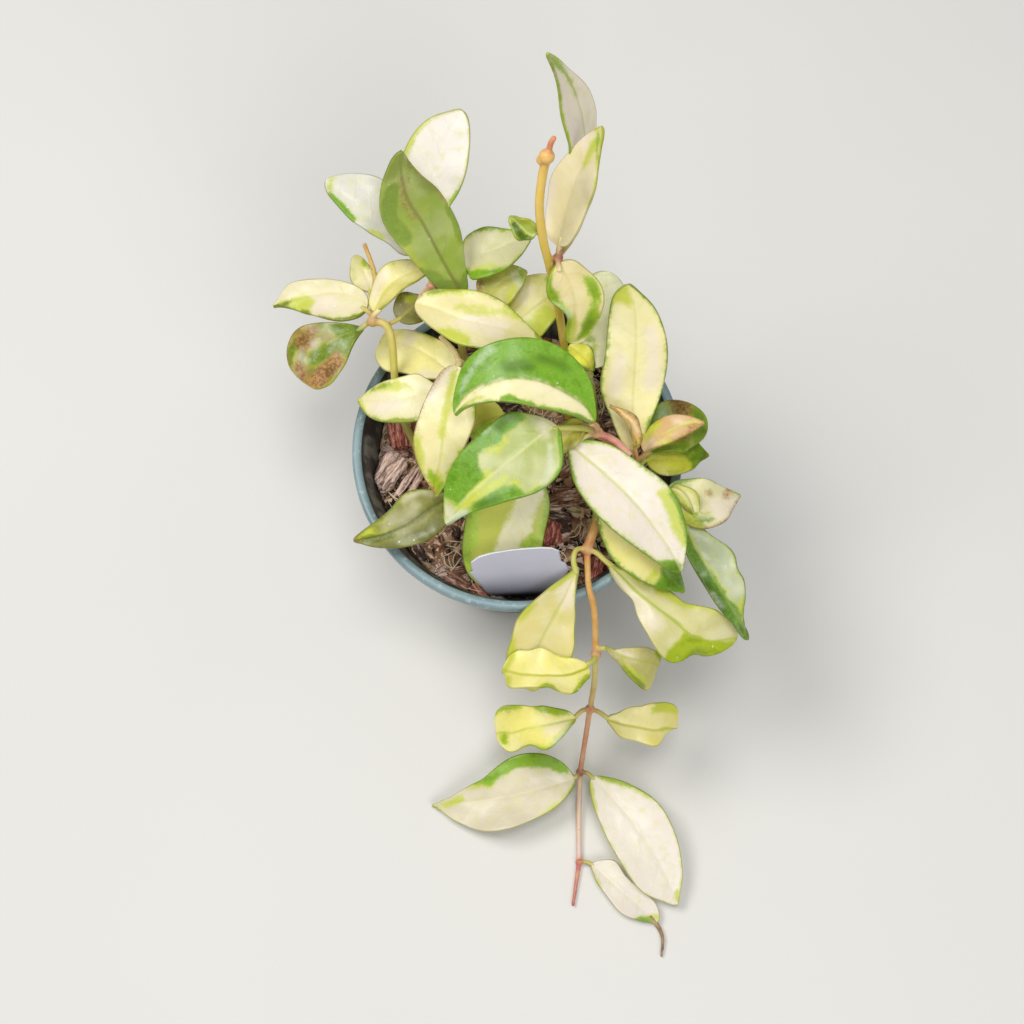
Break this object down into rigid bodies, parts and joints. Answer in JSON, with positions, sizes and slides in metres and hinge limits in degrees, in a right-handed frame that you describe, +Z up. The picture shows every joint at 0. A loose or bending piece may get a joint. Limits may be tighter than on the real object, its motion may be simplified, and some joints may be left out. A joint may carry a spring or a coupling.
{
  "type": "potted hoya plant",
  "caption": "Potted hoya with waxy variegated leaves on thin stems, in a round thin-walled nursery pot of bark mix, with a blank plant label and a vine trailing over the front rim.",
  "frame": {"origin": "middle of the pot's flat underside, on the surface the plant stands on", "axes": "+Z up, -Y towards the trailing vine and the viewer, +X to the viewer's right"},
  "size_m": [0.1518, 0.242, 0.1992],
  "materials": {
    "pot": "satin",
    "mix": "rough",
    "label": "satin",
    "foliage": "waxy"
  },
  "bodies": {
    "root": {"pot": "pot", "potting_mix": "mix", "plant_label": "label", "trailing_stem": "foliage", "upright_stem": "foliage", "tall_left_stem": "foliage", "left_stem": "foliage", "middle_left_stem": "foliage", "low_front_stem": "foliage", "centre_stem": "foliage", "right_stem": "foliage", "lower_right_stem": "foliage", "back_stem": "foliage", "back_right_stem": "foliage"}
  },
  "joints": []
}
